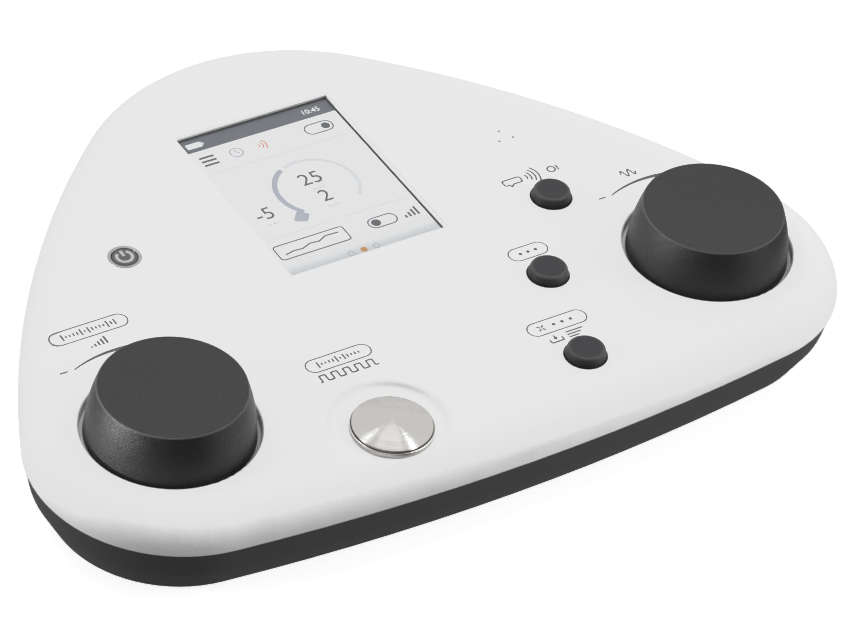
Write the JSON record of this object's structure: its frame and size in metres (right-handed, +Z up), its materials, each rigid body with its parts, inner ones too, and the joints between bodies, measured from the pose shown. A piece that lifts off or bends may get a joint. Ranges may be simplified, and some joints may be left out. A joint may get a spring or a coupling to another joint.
{
  "type": "audiometer",
  "caption": "Desk audiometer: flat rounded-triangle case with a colour display, turning dials, domed steel stimulus button, small push buttons, power button and rear sockets.",
  "frame": {"origin": "on the table plane, under the middle of the case outline's bounding box", "axes": "+X to the user's right, +Y away from the user towards the rear sockets, +Z up"},
  "size_m": [0.2444, 0.1837, 0.0415],
  "materials": {
    "cover_plastic": "fine satin, off-white",
    "shell_plastic": "satin, charcoal",
    "knob_plastic": "soft-touch, charcoal",
    "button_plastic": "satin, charcoal",
    "inner_plastic": "moulded",
    "rubber": "moulded",
    "dome_steel": "turned, radially brushed",
    "screw_steel": "plated",
    "spring_steel": "drawn wire",
    "fixing_steel": "plated",
    "brass": "knurled",
    "circuit_board": "green solder resist",
    "chip_epoxy": "moulded epoxy",
    "tinned_sheet": "tinned sheet",
    "lens": "clear, bonded",
    "display": "lit panel",
    "ribbon_film": "amber polyimide film",
    "connector_plastic": "moulded, natural",
    "component_plastic": "moulded",
    "plunger_plastic": "moulded",
    "capsule_metal": "drawn can",
    "socket_plastic": "moulded",
    "socket_metal": "nickel plated",
    "battery_wrap": "shrink film",
    "wire_insulation": "smooth"
  },
  "bodies": {
    "case": {"top_cover": "cover_plastic", "bottom_cover": "shell_plastic", "battery_door": "shell_plastic", "battery_door_screw": "screw_steel", "case_screws": "screw_steel", "threaded_inserts": "brass", "rubber_feet": "rubber", "main_board": "circuit_board", "board_screws": "screw_steel", "display_lens": "lens", "display_gasket": "rubber", "display_module": "display", "display_bracket": "tinned_sheet", "display_screws": "screw_steel", "display_ribbon": "ribbon_film", "ribbon_connector": "connector_plastic", "level_encoder": "component_plastic", "frequency_encoder": "component_plastic", "encoder_nuts": "fixing_steel", "encoder_washers": "fixing_steel", "stimulus_ring": "dome_steel", "stimulus_switch": "component_plastic", "talk_over_switch": "component_plastic", "function_switch": "component_plastic", "store_switch": "component_plastic", "power_ring": "dome_steel", "power_switch": "component_plastic", "microphone": "capsule_metal", "microphone_boot": "rubber", "left_phone_socket": "socket_plastic", "right_phone_socket": "socket_plastic", "bone_socket": "socket_plastic", "response_socket": "socket_plastic", "usb_socket": "socket_metal", "battery_pack": "battery_wrap", "battery_lead": "wire_insulation", "battery_connector": "connector_plastic", "board_chips": "chip_epoxy", "shield_can": "tinned_sheet"},
    "level_dial": {"level_knob": "knob_plastic", "level_knob_hub": "inner_plastic", "level_encoder_shaft": "fixing_steel"},
    "frequency_dial": {"frequency_knob": "knob_plastic", "frequency_knob_hub": "inner_plastic", "frequency_encoder_shaft": "fixing_steel"},
    "stimulus": {"stimulus_dome": "dome_steel", "stimulus_carrier": "inner_plastic", "stimulus_plunger": "plunger_plastic", "stimulus_spring": "spring_steel"},
    "talk_over": {"talk_over_button": "button_plastic", "talk_over_plunger": "plunger_plastic"},
    "function": {"function_button": "button_plastic", "function_plunger": "plunger_plastic"},
    "store": {"store_button": "button_plastic", "store_plunger": "plunger_plastic"},
    "power": {"power_button": "button_plastic", "power_plunger": "plunger_plastic"}
  },
  "joints": [
    {"name": "level_dial_turn", "type": "hinge", "parent": "case", "child": "level_dial", "pos_m": [-0.0846, -0.0471, 0.03], "axis": [0, 0, 1], "continuous": true},
    {"name": "frequency_dial_turn", "type": "hinge", "parent": "case", "child": "frequency_dial", "pos_m": [0.0846, -0.0471, 0.03], "axis": [0, 0, 1], "continuous": true},
    {"name": "stimulus_press", "type": "slide", "parent": "case", "child": "stimulus", "axis": [0, 0, -1], "range_m": [0, 0.001], "stiffness_N_per_m": 1500, "springref_m": -0.0005, "deforming": ["stimulus_spring"]},
    {"name": "talk_over_press", "type": "slide", "parent": "case", "child": "talk_over", "axis": [0, 0, -1], "range_m": [0, 0.001], "stiffness_N_per_m": 1500, "springref_m": -0.0004},
    {"name": "function_press", "type": "slide", "parent": "case", "child": "function", "axis": [0, 0, -1], "range_m": [0, 0.001], "stiffness_N_per_m": 1500, "springref_m": -0.0004},
    {"name": "store_press", "type": "slide", "parent": "case", "child": "store", "axis": [0, 0, -1], "range_m": [0, 0.001], "stiffness_N_per_m": 1500, "springref_m": -0.0004},
    {"name": "power_press", "type": "slide", "parent": "case", "child": "power", "axis": [0, 0, -1], "range_m": [0, 0.0005], "stiffness_N_per_m": 2500, "springref_m": -0.0002}
  ]
}
